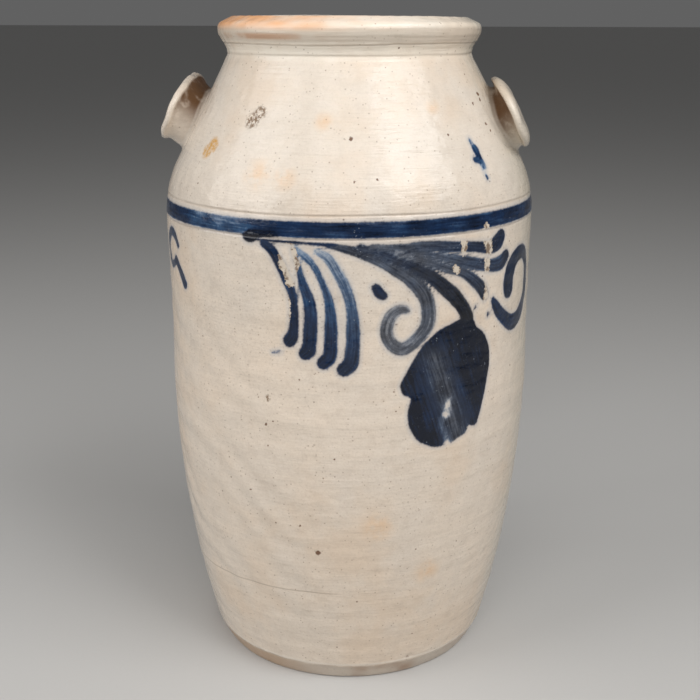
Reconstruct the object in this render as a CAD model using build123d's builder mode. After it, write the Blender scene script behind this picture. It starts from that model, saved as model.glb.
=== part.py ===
"""Salt-glazed stoneware churn jar used as a fermenting crock.

Frame: millimetres, +Z up, origin at the centre of the flat foot.
The two lug handles lie on the X axis, lug_handle_left on -X.
"""
import os
from math import cos, radians, sin, sqrt, tan

from build123d import *

# Overall jar
jar_height = 454.0
foot_radius = 95.0
foot_chamfer_height = 14.0
belly_radius = 129.0
belly_height = 214.0
belly_curve_radius = 800.0
waist_radius = 128.4
upper_belly_height = 314.0

# Shoulder cone and its rounded break with the wall
shoulder_lean = 27.6
shoulder_break_height = 342.5
shoulder_break_rounding = 85.0
shoulder_foot_rounding = 8.0

# Neck and rolled rim
neck_radius = 84.0
neck_top_height = 433.5
roll_radius = 89.9
roll_bottom_height = 442.5
roll_top_height = 449.4
roll_rounding = 3.2
crest_outer_radius = 80.0
crest_rounding = 1.6

# Wall, floor and the gallery that carries the lid
wall_thickness = 9.5
floor_thickness = 12.0
floor_corner_reach = 12.0
floor_corner_rounding = 13.8
mouth_radius = 76.0
inner_shoulder_rounding = 4.0
gallery_height = 437.0
gallery_radius = 69.0
gallery_underside_height = 428.0
gallery_underside_rounding = 2.0
gallery_rounding = 1.2

# Lug handles
lug_seat_height = 389.9
lug_half_length = 46.0
lug_half_height = 25.8
lug_lip_thickness = 7.0
lug_stand_off = 8.7
lug_neck_half_length = 33.0
lug_neck_half_height = 22.5
lug_neck_drop = 2.5
lug_neck_flare_start = 3.5
lug_neck_root_depth = 9.0
lug_lip_rounding = 3.0

# Lid that drops into the mouth, and its knob
lid_clearance = 1.0
lid_flange_thickness = 8.0
lid_well_radius = 66.0
lid_well_wall = 9.0
lid_well_bottom = 422.0
lid_panel_thickness = 8.0
lid_edge_rounding = 2.5
lid_well_corner_rounding = 0.8
lid_seat_rounding = 1.0
lid_panel_corner_rounding = 4.0
knob_foot_radius = 13.0
knob_neck_radius = 9.0
knob_head_radius = 16.0
knob_crown_radius = 15.0
knob_neck_height = 10.0
knob_head_height = 13.0
knob_crown_height = 19.0
knob_height = 21.0
knob_foot_rounding = 0.5
knob_neck_rounding = 4.0
knob_flare_rounding = 3.0
knob_head_rounding = 2.5
knob_crown_rounding = 4.0

# Pressing weights: a disc cut in two halves, with a finger hole in the middle
weight_radius = 80.0
weight_thickness = 20.0
weight_gap = 3.0
weight_finger_hole_radius = 14.0
weight_edge_rounding = 3.0

os.makedirs("parts", exist_ok=True)

shoulder_slope = tan(radians(shoulder_lean))


def wall_radius(height, radius_offset=0.0):
    """Radius of the lower wall, an arc that turns upright at the belly height."""
    curve = belly_curve_radius - radius_offset
    drop = belly_height - height
    return belly_radius - belly_curve_radius + sqrt(curve**2 - drop**2)


def shoulder_radius(height, thickness=0.0):
    """Radius of the shoulder cone, or of its inside at a wall thickness."""
    outside = belly_radius - (height - shoulder_break_height) * shoulder_slope
    return outside - thickness / cos(radians(shoulder_lean))


def shoulder_height(radius, thickness=0.0):
    """Height at which the shoulder cone, or its inside, has a radius."""
    outside = radius + thickness / cos(radians(shoulder_lean))
    return shoulder_break_height + (belly_radius - outside) / shoulder_slope


# The outer shape of the jar as one closed solid.
with BuildPart() as envelope:
    with BuildSketch(Plane.XZ):
        with BuildLine():
            Polyline(
                (0, jar_height),
                (0, 0),
                (foot_radius, 0),
                (wall_radius(foot_chamfer_height), foot_chamfer_height),
            )
            lower_middle = (foot_chamfer_height + belly_height) / 2
            ThreePointArc(
                (wall_radius(foot_chamfer_height), foot_chamfer_height),
                (wall_radius(lower_middle), lower_middle),
                (belly_radius, belly_height),
            )
            ThreePointArc(
                (belly_radius, belly_height),
                (waist_radius, (belly_height + upper_belly_height) / 2),
                (belly_radius, upper_belly_height),
            )
            FilletPolyline(
                (belly_radius, upper_belly_height),
                (belly_radius, shoulder_break_height),
                (neck_radius, shoulder_height(neck_radius)),
                (neck_radius, neck_top_height),
                (roll_radius, roll_bottom_height),
                (roll_radius, roll_top_height),
                (crest_outer_radius, jar_height),
                (0, jar_height),
                radius=[
                    shoulder_break_rounding,
                    shoulder_foot_rounding,
                    shoulder_foot_rounding,
                    roll_rounding,
                    roll_rounding,
                    crest_rounding,
                ],
            )
        make_face()
    revolve(axis=Axis.Z)

# The thrown vessel: floor, wall, shoulder, neck, rolled rim and lid gallery in one piece of clay.
with BuildPart() as crock_body:
    add(envelope.part)
    with BuildSketch(Plane.XZ):
        with BuildLine():
            inner_belly_radius = belly_radius - wall_thickness
            inner_floor_radius = wall_radius(floor_thickness, wall_thickness)
            corner_start = inner_floor_radius - floor_corner_reach
            corner_top = floor_thickness + floor_corner_reach
            Line((0, jar_height), (0, floor_thickness))
            Line((0, floor_thickness), (corner_start, floor_thickness))
            RadiusArc(
                (corner_start, floor_thickness),
                (wall_radius(corner_top, wall_thickness), corner_top),
                -floor_corner_rounding,
            )
            inner_middle = (corner_top + belly_height) / 2
            ThreePointArc(
                (wall_radius(corner_top, wall_thickness), corner_top),
                (wall_radius(inner_middle, wall_thickness), inner_middle),
                (inner_belly_radius, belly_height),
            )
            FilletPolyline(
                (inner_belly_radius, belly_height),
                (inner_belly_radius, shoulder_height(inner_belly_radius, wall_thickness)),
                (mouth_radius, shoulder_height(mouth_radius, wall_thickness)),
                (gallery_radius, gallery_underside_height),
                (gallery_radius, gallery_height),
                (mouth_radius, gallery_height),
                (mouth_radius, jar_height),
                radius=[
                    shoulder_break_rounding - wall_thickness,
                    inner_shoulder_rounding,
                    gallery_underside_rounding,
                    gallery_rounding,
                    gallery_rounding,
                ],
            )
            Line((mouth_radius, jar_height), (0, jar_height))
        make_face()
    revolve(axis=Axis.Z, mode=Mode.SUBTRACT)
    fillet(
        crock_body.edges()
        .filter_by(GeomType.CIRCLE)
        .group_by(Axis.Z)[-1]
        .sort_by(SortBy.RADIUS)[0],
        radius=crest_rounding,
    )


def make_lug(side):
    """An applied lug: an oval lip on a flared neck, cut to the shoulder that it is luted to."""
    lean = radians(shoulder_lean)
    seat = Plane(
        origin=(side * shoulder_radius(lug_seat_height), 0, lug_seat_height),
        x_dir=(0, 1, 0),
        z_dir=(side * cos(lean), 0, sin(lean)),
    )
    neck_seat = Plane(
        origin=seat.origin - lug_neck_drop * Vector(-side * sin(lean), 0, cos(lean)),
        x_dir=seat.x_dir,
        z_dir=seat.z_dir,
    )
    with BuildPart() as lug:
        with BuildSketch(seat.offset(lug_stand_off)):
            Ellipse(lug_half_length, lug_half_height)
        extrude(amount=lug_lip_thickness)
        fillet(lug.edges(), radius=lug_lip_rounding)
        with BuildSketch(neck_seat.offset(lug_neck_flare_start)):
            Ellipse(lug_neck_half_length, lug_neck_half_height)
        with BuildSketch(seat.offset(lug_stand_off + lug_lip_rounding)):
            Ellipse(lug_half_length - lug_lip_rounding, lug_half_height - lug_lip_rounding)
        loft()
        with BuildSketch(neck_seat.offset(-lug_neck_root_depth)):
            Ellipse(lug_neck_half_length, lug_neck_half_height)
        extrude(amount=lug_neck_root_depth + lug_neck_flare_start)
        add(envelope.part, mode=Mode.SUBTRACT)
    return lug


lug_handle_left = make_lug(-1)
lug_handle_right = make_lug(1)

# The lid hangs by its flange on the gallery, with its panel sunk below the rim.
lid_radius = mouth_radius - lid_clearance
lid_flange_top = gallery_height + lid_flange_thickness
lid_panel_top = lid_well_bottom + lid_panel_thickness
with BuildPart() as lid:
    with BuildSketch(Plane.XZ):
        with BuildLine():
            FilletPolyline(
                (0, lid_well_bottom),
                (lid_well_radius, lid_well_bottom),
                (lid_well_radius, gallery_height),
                (lid_radius, gallery_height),
                (lid_radius, lid_flange_top),
                (lid_well_radius - lid_well_wall, lid_flange_top),
                (lid_well_radius - lid_well_wall, lid_panel_top),
                (0, lid_panel_top),
                radius=[
                    lid_edge_rounding,
                    lid_well_corner_rounding,
                    lid_seat_rounding,
                    lid_edge_rounding,
                    lid_edge_rounding,
                    lid_panel_corner_rounding,
                ],
            )
            Line((0, lid_panel_top), (0, lid_well_bottom))
        make_face()
    revolve(axis=Axis.Z)

# The turned knob is luted to the middle of the panel and stays below the rim.
with BuildPart() as lid_knob:
    with BuildSketch(Plane.XZ):
        with BuildLine():
            knob_top = lid_panel_top + knob_height
            FilletPolyline(
                (0, lid_panel_top),
                (knob_foot_radius, lid_panel_top),
                (knob_neck_radius, lid_panel_top + knob_neck_height / 2),
                (knob_neck_radius, lid_panel_top + knob_neck_height),
                (knob_head_radius, lid_panel_top + knob_head_height),
                (knob_crown_radius, lid_panel_top + knob_crown_height),
                (0, knob_top),
                radius=[
                    knob_foot_rounding,
                    knob_neck_rounding,
                    knob_flare_rounding,
                    knob_head_rounding,
                    knob_crown_rounding,
                ],
            )
            Line((0, knob_top), (0, lid_panel_top))
        make_face()
    revolve(axis=Axis.Z)


def make_weight(side):
    """One half of the divided pressing weight, lying on the floor of the jar."""
    with BuildPart() as weight:
        with BuildSketch(Plane.XY.offset(floor_thickness)):
            Circle(weight_radius)
            Circle(weight_finger_hole_radius, mode=Mode.SUBTRACT)
            with Locations((-side * (weight_radius - weight_gap / 2), 0)):
                Rectangle(2 * weight_radius, 2 * weight_radius, mode=Mode.SUBTRACT)
        extrude(amount=weight_thickness)
        fillet(weight.faces().sort_by(Axis.Z)[-1].edges(), radius=weight_edge_rounding)
    return weight


weight_left = make_weight(-1)
weight_right = make_weight(1)

nodes = {
    "crock_body": crock_body,
    "lug_handle_left": lug_handle_left,
    "lug_handle_right": lug_handle_right,
    "lid": lid,
    "lid_knob": lid_knob,
    "weight_left": weight_left,
    "weight_right": weight_right,
}
for node_name, piece in nodes.items():
    piece.part.label = node_name
    export_step(piece.part, f"parts/{node_name}.step")
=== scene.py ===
"""The looks of a salt-glazed stoneware churn jar with cobalt brushwork, built round its CAD frame.

Metres, +Z up, origin at the centre of the jar's foot. An azimuth is measured from -Y towards +X.
"""
import math

import bpy
import numpy as np
from mathutils import Euler, Matrix, Vector


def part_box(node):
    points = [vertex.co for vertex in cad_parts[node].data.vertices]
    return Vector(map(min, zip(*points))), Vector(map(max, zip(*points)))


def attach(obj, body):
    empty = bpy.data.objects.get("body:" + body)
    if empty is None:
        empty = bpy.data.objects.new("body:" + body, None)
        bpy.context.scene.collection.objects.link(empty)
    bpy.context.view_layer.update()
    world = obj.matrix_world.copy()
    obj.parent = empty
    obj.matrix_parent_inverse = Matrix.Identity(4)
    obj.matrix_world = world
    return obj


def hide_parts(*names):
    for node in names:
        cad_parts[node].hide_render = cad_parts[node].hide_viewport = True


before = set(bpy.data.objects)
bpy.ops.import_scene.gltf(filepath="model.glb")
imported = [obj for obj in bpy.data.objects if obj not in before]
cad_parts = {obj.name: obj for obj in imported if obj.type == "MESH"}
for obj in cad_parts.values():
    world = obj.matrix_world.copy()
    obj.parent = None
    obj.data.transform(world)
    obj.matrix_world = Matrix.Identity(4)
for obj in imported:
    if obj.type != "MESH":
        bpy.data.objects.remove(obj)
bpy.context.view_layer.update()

MM = 0.001

# ---------------------------------------------------------------- sizes, from the frame
jar_low, jar_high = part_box("crock_body")
lid_low, lid_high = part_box("lid")
knob_low, knob_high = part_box("lid_knob")
JAR_HEIGHT = jar_high.z
BELLY_RADIUS = (jar_high.x - jar_low.x) / 2
FLOOR_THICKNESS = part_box("weight_left")[0].z

# The jar's outline, in the same terms as its CAD solid
FOOT_RADIUS = 96.4 * MM
CHAMFER_HEIGHT = 14 * MM
BELLY_HEIGHT = 214 * MM
BELLY_CURVE = 800 * MM
WAIST_DEPTH = 0.6 * MM
UPPER_BELLY = 314 * MM
SHOULDER_LEAN = math.radians(27.6)
SHOULDER_BREAK = 342.5 * MM
NECK_RADIUS = 84 * MM
NECK_TOP = 433.5 * MM
ROLL_RADIUS = 89.9 * MM
ROLL_BOTTOM = 442.5 * MM
ROLL_TOP = 449.4 * MM
CREST_RADIUS = 80 * MM
MOUTH_RADIUS = 76 * MM
MOUTH_DEPTH = 6 * MM
GALLERY_HEIGHT = 437 * MM
GALLERY_RADIUS = 69 * MM
GALLERY_DEPTH = 9 * MM
WALL = 9.5 * MM
BAND_LOW = 324.5 * MM
BAND_HIGH = 334.5 * MM

# Incised lines: (height, depth, half width, dirt held)
INCISED = [
    (441.2 * MM, 0.20 * MM, 1.0 * MM, 0.1),
    (437.2 * MM, 0.40 * MM, 0.55 * MM, 0.9),
    (430.3 * MM, 0.35 * MM, 0.8 * MM, 0.5),
    (337.8 * MM, 0.50 * MM, 0.7 * MM, 0.6),
    (323.2 * MM, 0.50 * MM, 0.7 * MM, 0.6),
]

# The azimuth of the painting's middle, which the camera faces. The lugs stand on the X axis.
FRONT = math.radians(7)

# The jar's mesh has most of its columns in the half that faces the front.
JAR_COLUMNS = 218
FRONT_COLUMN_SHARE = 0.77
FRONT_HALF_ANGLE = math.radians(92)


# ---------------------------------------------------------------- numbers and noise
def wave_noise(points, wavelength, seed, count=28):
    """Smooth noise of about -1 to 1 at an array of points, as a sum of seeded plane waves."""
    rng = np.random.default_rng(seed)
    directions = rng.normal(size=(count, points.shape[1]))
    directions /= np.linalg.norm(directions, axis=1)[:, None]
    lengths = wavelength * rng.uniform(0.7, 1.6, count)
    phases = rng.uniform(0, 2 * math.pi, count)
    total = np.zeros(len(points))
    for direction, length, phase in zip(directions, lengths, phases):
        total += np.sin(points @ direction * (2 * math.pi / length) + phase)
    return total / math.sqrt(count / 2) / 1.6


def smooth_step(low, high, value):
    t = np.clip((value - low) / (high - low), 0, 1)
    return t * t * (3 - 2 * t)


def step_mm(low, high, length):
    """A smooth step of a length in metres between two limits in millimetres."""
    return smooth_step(low * MM, high * MM, length)


def angle_between(azimuth, centre):
    """Signed difference of two azimuths, from -pi to pi."""
    return (azimuth - centre + math.pi) % (2 * math.pi) - math.pi


# ---------------------------------------------------------------- outlines
def rounded_path(corners, radii, step):
    """Points along straight runs between corners, each inner corner rounded to its radius."""
    corners = [np.array(c, float) for c in corners]
    path = [corners[0]]
    for before, corner, after, radius in zip(corners, corners[1:], corners[2:], radii):
        back = (before - corner) / np.linalg.norm(before - corner)
        on = (after - corner) / np.linalg.norm(after - corner)
        half = math.acos(np.clip(back @ on, -1, 1)) / 2
        if radius <= 0 or half > math.pi / 2 - 1e-3:
            path.append(corner)
            continue
        reach = radius / math.tan(half)
        centre = corner + (back + on) / np.linalg.norm(back + on) * radius / math.sin(half)
        start = corner + back * reach - centre
        end = corner + on * reach - centre
        turn = math.atan2(start[0] * end[1] - start[1] * end[0], start @ end)
        steps = max(4, int(abs(turn) * radius / step))
        for t in np.linspace(0, turn, steps + 1):
            c, s = math.cos(t), math.sin(t)
            path.append(centre + np.array([c * start[0] - s * start[1], s * start[0] + c * start[1]]))
    path.append(corners[-1])
    return fill_path(path, step)


def run_along(path):
    """Distance along a polyline at each of its points."""
    return np.concatenate([[0], np.cumsum(np.linalg.norm(np.diff(path, axis=0), axis=1))])


def points_at(path, along, places):
    """Points of a polyline at the distances called places, where along is the distance at its own."""
    return np.column_stack([np.interp(places, along, values) for values in path.T])


def fill_path(path, step):
    """The same polyline with no run longer than a step."""
    path = np.array(path)
    runs = np.linalg.norm(np.diff(path, axis=0), axis=1)
    path = path[np.concatenate([[True], runs > 1e-7])]
    along = run_along(path)
    places = [0.0]
    for a, b in zip(along, along[1:]):
        places.extend(np.linspace(a, b, max(1, math.ceil((b - a) / step)) + 1)[1:])
    return points_at(path, along, places)


def respaced(path, spacing):
    """Points along a polyline, as close together as spacing(r, z) says."""
    along = run_along(path)
    middle = (path[1:] + path[:-1]) / 2
    progress = np.concatenate([[0], np.cumsum(np.diff(along) / spacing(*middle.T))])
    places = np.interp(np.linspace(0, progress[-1], int(round(progress[-1])) + 1), progress, along)
    return points_at(path, along, places)


def wall_radius(height, inset=0.0):
    """Radius of the lower wall, an arc that stands upright at the belly height."""
    curve = BELLY_CURVE - inset
    return BELLY_RADIUS - BELLY_CURVE + np.sqrt(curve**2 - (BELLY_HEIGHT - height) ** 2)


def shoulder_height(radius, inset=0.0):
    outside = radius + inset / math.cos(SHOULDER_LEAN)
    return SHOULDER_BREAK + (BELLY_RADIUS - outside) / math.tan(SHOULDER_LEAN)


def outer_outline():
    """From the middle of the underside, up the wall and over the rim to the mouth."""
    step = 0.2 * MM
    chamfer = wall_radius(CHAMFER_HEIGHT)
    foot = rounded_path(
        [(0, 0.6 * MM), (FOOT_RADIUS - 9 * MM, 0.6 * MM), (FOOT_RADIUS - 6 * MM, 0), (FOOT_RADIUS, 0),
         (chamfer, CHAMFER_HEIGHT), (wall_radius(2 * CHAMFER_HEIGHT), 2 * CHAMFER_HEIGHT)],
        [2 * MM, 2 * MM, 2.5 * MM, 1.3 * MM], step)
    heights = np.arange(2 * CHAMFER_HEIGHT, BELLY_HEIGHT, step)
    lower = np.column_stack([wall_radius(heights), heights])
    heights = np.arange(BELLY_HEIGHT, UPPER_BELLY, step)
    along = (heights - BELLY_HEIGHT) / (UPPER_BELLY - BELLY_HEIGHT)
    waist = np.column_stack([BELLY_RADIUS - WAIST_DEPTH * 4 * along * (1 - along), heights])
    upper = rounded_path(
        [(BELLY_RADIUS, UPPER_BELLY), (BELLY_RADIUS, SHOULDER_BREAK),
         (NECK_RADIUS, shoulder_height(NECK_RADIUS)), (NECK_RADIUS, NECK_TOP),
         (ROLL_RADIUS, ROLL_BOTTOM), (ROLL_RADIUS, ROLL_TOP), (CREST_RADIUS, JAR_HEIGHT),
         (MOUTH_RADIUS, JAR_HEIGHT), (MOUTH_RADIUS, JAR_HEIGHT - MOUTH_DEPTH)],
        [85 * MM, 8 * MM, 8 * MM, 11 * MM, 4.4 * MM, 3.4 * MM, 1.9 * MM], step)
    return np.vstack([foot, lower, waist, upper])


def inner_outline():
    """From the mouth, over the gallery that carries the lid, down to the middle of the floor."""
    step = 0.5 * MM
    inner_belly = BELLY_RADIUS - WALL
    corner = 12 * MM
    upper = rounded_path(
        [(MOUTH_RADIUS, JAR_HEIGHT - MOUTH_DEPTH), (MOUTH_RADIUS, GALLERY_HEIGHT),
         (GALLERY_RADIUS, GALLERY_HEIGHT), (GALLERY_RADIUS, GALLERY_HEIGHT - GALLERY_DEPTH),
         (MOUTH_RADIUS, shoulder_height(MOUTH_RADIUS, WALL)),
         (inner_belly, shoulder_height(inner_belly, WALL)), (inner_belly, BELLY_HEIGHT)],
        [1.2 * MM, 1.2 * MM, 2 * MM, 4 * MM, 75.5 * MM], step)
    heights = np.arange(BELLY_HEIGHT, FLOOR_THICKNESS + corner, -step)[1:]
    lower = np.column_stack([wall_radius(heights, WALL), heights])
    floor_radius = wall_radius(FLOOR_THICKNESS, WALL)
    bottom = rounded_path(
        [tuple(lower[-1]), (floor_radius, FLOOR_THICKNESS), (0, FLOOR_THICKNESS)], [corner * 0.85], step)
    return np.vstack([upper, lower, bottom[1:]])


# ---------------------------------------------------------------- meshes
def new_mesh(name, vertices, faces, smooth=True):
    mesh = bpy.data.meshes.new(name)
    mesh.from_pydata([tuple(v) for v in vertices], [], faces)
    mesh.update()
    if smooth:
        mesh.polygons.foreach_set("use_smooth", [True] * len(mesh.polygons))
    piece = bpy.data.objects.new(name, mesh)
    bpy.context.scene.collection.objects.link(piece)
    return piece


def turned_faces(rings, columns, first_pole, last_pole):
    """Faces of a grid of rings closed round its columns, with a fan at each pole."""
    faces = []
    for ring in range(rings - 1):
        for column in range(columns):
            a = ring * columns + column
            b = ring * columns + (column + 1) % columns
            faces.append((a, b, b + columns, a + columns))
    for column in range(columns):
        following = (column + 1) % columns
        faces.append((first_pole, following, column))
        last = (rings - 1) * columns
        faces.append((last_pole, last + column, last + following))
    return faces


def wheel_point(azimuth, radius, height):
    """Object-space points at some azimuths, radii and heights."""
    return np.column_stack([radius * np.sin(azimuth), -radius * np.cos(azimuth), height])


def turned_grid(outline, azimuths):
    """Azimuth, radius, height and the outward and upward normal at every point between the poles."""
    tangent = np.gradient(outline, axis=0)[1:-1]
    tangent /= np.linalg.norm(tangent, axis=1)[:, None]
    rings = np.column_stack([outline[1:-1], tangent[:, 1], -tangent[:, 0]])
    return np.tile(azimuths, len(rings)), *np.repeat(rings, len(azimuths), axis=0).T


def turned_mesh(name, outline, columns, places):
    """A mesh of a turned grid's places, closed at both ends of its outline."""
    vertices = np.vstack([places, [[0, 0, outline[0, 1]], [0, 0, outline[-1, 1]]]])
    return new_mesh(name, vertices, turned_faces(len(outline) - 2, columns, len(places), len(places) + 1))


def set_values(piece, name, values):
    layer = piece.data.attributes.new(name, "FLOAT", "POINT")
    layer.data.foreach_set("value", np.asarray(values, np.float32))


def column_azimuths():
    """Azimuths of the jar's columns, closer together round the painted front."""
    half = FRONT_HALF_ANGLE
    front = int(JAR_COLUMNS * FRONT_COLUMN_SHARE)
    near = np.linspace(-half, half, front, endpoint=False)
    far = np.linspace(half, 2 * math.pi - half, JAR_COLUMNS - front, endpoint=False)
    return FRONT + np.concatenate([near, far])


# ---------------------------------------------------------------- the cobalt painting
# A stroke is its ink (0 thin, 1 thick) and then its grey (0 blue, 1 grey), each at the start and at
# the end, and its points. A point is (across, height, half width) in millimetres. Across is measured
# round the belly from the front, to the right.
STROKES = {
    "plume_1": (0.75, 0.88, 0.0, 0.1, [
        (-55, 320, 2.8), (-49.5, 316, 3.2), (-43.5, 306, 3.3), (-39, 296, 3.3), (-36, 288, 2.9),
        (-35.3, 278, 3.0), (-35.5, 268, 3.3), (-36.6, 261.5, 4.1), (-38.7, 258.5, 4.5)]),
    "plume_2": (0.5, 0.86, 0.0, 0.05, [
        (-35, 317, 1.4), (-32, 306.5, 1.9), (-29, 295, 3.0), (-25.7, 286, 3.8), (-24.4, 276.5, 4.3),
        (-24.7, 267, 4.5), (-25.3, 258, 4.5), (-26.4, 252.5, 5.0), (-28.3, 250.6, 4.4)]),
    "plume_3": (0.35, 0.84, 0.05, 0.05, [
        (-33.5, 317.5, 1.8), (-27, 312.5, 2.3), (-22, 307, 2.1), (-17.5, 298, 2.1), (-14, 289, 2.7),
        (-12, 279, 3.3), (-11.6, 269, 4.1), (-11.9, 258.5, 4.3), (-12.4, 249.5, 4.6), (-16.3, 245, 4.5)]),
    "plume_4": (0.2, 0.86, 0.2, 0.35, [
        (-20, 316.5, 2.2), (-13, 312, 3.1), (-7, 302.5, 3.4), (-2.2, 293, 3.4), (0.7, 283.7, 3.4),
        (2, 273.5, 3.9), (2.3, 263.5, 4.5), (2, 253, 4.7), (0.7, 245, 5.2), (-3.3, 241, 4.8)]),
    "blob": (1.0, 0.95, 0.45, 0.3, [
        (-66.5, 325.4, 4.6), (-64.6, 325, 5.6), (-58, 326.4, 3.6), (-46, 326.2, 1.8), (-38, 325.8, 1.0)]),
    "under_line": (1.0, 0.8, 0.2, 0.2, [
        (-61, 322, 1.0), (-40, 321.7, 0.9), (-21.6, 321.1, 1.1), (-8.6, 319.8, 1.9)]),
    "curl": (0.68, 0.42, 0.75, 0.95, [
        (-13, 320, 1.3), (-2, 318, 2.6), (13, 313, 3.5), (24.6, 307, 3.9), (35.7, 300, 4.4),
        (43.5, 293, 4.9), (49.3, 285, 5.0), (51.3, 276, 5.2), (50.8, 268.5, 5.1), (48.3, 263.5, 4.9),
        (43.2, 258.4, 4.6), (38.4, 254.8, 4.4), (33, 253.3, 4.3), (27.3, 256.4, 4.2),
        (24.1, 261.9, 4.3), (23.6, 267.9, 4.3), (25.4, 274, 4.2), (29.3, 277.7, 3.7),
        (33.9, 278.9, 3.0), (36.3, 278, 2.4)]),
    "stem": (0.66, 0.95, 0.6, 0.8, [
        (6.8, 317.3, 4.1), (17.3, 314.5, 3.6), (28.2, 310.8, 3.7), (39.4, 305, 4.0), (51.2, 299, 4.3),
        (61.3, 291.2, 4.8), (70.4, 283.3, 5.1), (77.2, 275.6, 4.9), (81.4, 268, 5.2)]),
    "leaf_1": (0.54, 0.82, 0.85, 0.4, [
        (14, 319, 2.1), (34, 317.3, 3.1), (43, 318, 3.4), (54.6, 317.4, 3.5), (65.5, 316, 3.6),
        (76, 315, 3.5), (89, 313.3, 3.6), (100, 311.5, 4.4), (107.4, 313.8, 6.0), (111.0, 316.8, 5.2)]),
    "leaf_2": (0.46, 0.76, 0.85, 0.4, [
        (28, 315.7, 2.1), (39, 313.7, 2.5), (51, 312, 2.6), (67.5, 308, 3.3), (81.6, 304, 4.1),
        (93, 301, 4.1), (105, 299, 4.6), (113.2, 299.6, 5.4), (118, 303, 4.6)]),
    "leaf_3": (0.44, 0.72, 0.85, 0.6, [
        (28, 313, 2.1), (38, 310.6, 2.5), (51, 307, 3.0), (62.6, 303, 3.2), (75.2, 298.7, 3.3),
        (83, 294, 3.8), (91.8, 287, 4.3), (96.6, 281.2, 4.0)]),
    "hook": (0.84, 0.9, 0.0, 0.0, [
        (105.3, 276.2, 2.0), (109, 271.2, 3.8), (117.2, 263.6, 4.6), (130.3, 256, 5.6), (144, 257.5, 5.2),
        (154, 265, 4.8), (159, 277, 4.4), (158.3, 288.4, 4.2), (151, 299.5, 4.6), (140, 301, 5.4),
        (129.5, 296.5, 6.4), (125, 288, 7.0), (124.6, 280, 6.6)]),
    "bean": (0.85, 0.9, 0.2, 0.2, [(16.3, 293.6, 2.8), (18.7, 290, 3.3), (21, 288, 2.8)]),
    "dot_1": (0.8, 0.8, 0.1, 0.1, [(88.2, 274.2, 1.1), (88.6, 274.2, 1.1)]),
    "dot_2": (0.9, 0.9, 0.1, 0.1, [(101.2, 266.6, 1.4), (101.2, 267.8, 1.5)]),
    "tick": (0.6, 0.7, 0.1, 0.1, [(-50.6, 249.4, 0.8), (-45.4, 250.4, 1.0)]),
    "side_curl": (0.65, 0.8, 0.3, 0.2, [
        (-141.5, 307, 2.2), (-147, 313, 3.0), (-155, 315, 3.2), (-163, 310, 3.4), (-167, 301.6, 3.4),
        (-162, 292, 3.0), (-153, 293, 2.6), (-148, 297, 2.4)]),
    "side_tail": (0.85, 0.7, 0.1, 0.1, [
        (-148, 297, 2.8), (-140, 290, 3.2), (-132.5, 282, 3.4)]),
    "splash_1": (0.45, 0.85, 0.0, 0.0, [
        (98.4, 378, 1.5), (99.6, 375, 1.7), (100.8, 372.4, 2.9), (101.6, 370.4, 2.6), (102.4, 368, 2.2)]),
    "splash_2": (0.75, 0.45, 0.0, 0.0, [
        (96.8, 366.4, 2.0), (98.8, 366.2, 2.0), (101, 366.4, 2.0), (102.8, 364, 2.5), (103.6, 361.8, 1.9)]),
    "splash_3": (0.15, 0.2, 0.0, 0.0, [
        (101, 363, 1.0), (101.6, 360, 1.1), (102.4, 357.4, 0.9)]),
    "splash_4": (0.7, 0.6, 0.0, 0.0, [(102.6, 356, 1.2), (103, 355, 1.3)]),
}

# The tulip is one filled shape. The brush left a thin seam in it, where a few chips are bare.
TULIP = [
    (74, 268), (68, 266), (60.5, 263.7), (54.6, 260), (47.5, 254), (42.6, 247.3), (38.6, 240.7),
    (35.2, 234.6), (32.9, 229), (35, 222.7), (39.8, 220), (38, 212), (38.7, 202.3), (44.3, 191.6),
    (50.3, 187.2), (57, 184.4), (65.8, 184), (70.3, 185), (75.7, 186.7), (83, 190), (84, 194.2),
    (91.4, 193), (93.6, 197), (97, 207), (100.7, 220.4), (103.7, 234), (103.3, 244), (100, 251.5),
    (95.6, 257.3), (90, 261.4), (84, 269.6)]
TULIP_SLIT = [
    (68.2, 182, 3.0), (66.6, 189, 1.4), (62.8, 198, 1.9), (63, 203, 2.3), (66.4, 206.5, 2.5),
    (66.6, 211.4, 2.0), (67.3, 215.5, 1.2)]

TULIP_CHIPS = [
    [(67.2, 214.6, 1.0), (66.6, 211.2, 1.7)],
    [(64.6, 206.4, 1.7), (66.6, 204.6, 1.3)],
    [(67.2, 186.2, 1.6), (68.4, 181.5, 3.0)]]

# Places where the paint has flaked off with the glaze
FLAKE_PATCH = [
    (-45, 320.5), (-35.5, 321), (-32.5, 315), (-31, 308.5), (-33.6, 301.5), (-33.4, 297.6), (-34.8, 293),
    (-38.4, 292.7), (-40.4, 294.8), (-41.4, 299), (-43.9, 304), (-45.6, 308.7), (-44.4, 314)]
FLAKE_LINES = [
    [(95, 325.4, 2.6), (96.2, 319.3, 4.2), (99.2, 309.2, 3.2), (97.5, 301.9, 2.8), (98, 294.3, 2.6),
     (98.6, 285.8, 2.2), (98, 276.7, 2.6), (96, 271, 2.2)],
    [(-39.6, 288, 1.2), (-38.8, 279, 1.3), (-39.2, 271, 1.4), (-39.4, 266, 0.8)],
    [(76.2, 320, 2.4), (76.6, 315, 2.6), (76.2, 310.5, 2.0)],
    [(69.5, 302.5, 2.0), (71.5, 299.5, 2.4)],
]

# The part of the wall that holds the brushwork, and the paint of the band round the jar
PAINTING_LOW = 174
PAINTING_HIGH = 392
PAINTING_REACH = 190
BAND_INK = 0.76
BAND_GREY = 0.12

# Depths are kept only this far, in millimetres, on either side of an edge.
FIELD_REACH = 6.0

# What each point of the jar tells the glaze: how deep inside the paint it is, the paint's ink and
# grey, the place along and across the stroke, and how deep inside a flake it is
PAINT_FIELDS = ("cobalt", "cobalt_ink", "cobalt_grey", "cobalt_along", "cobalt_across", "flake")


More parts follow.
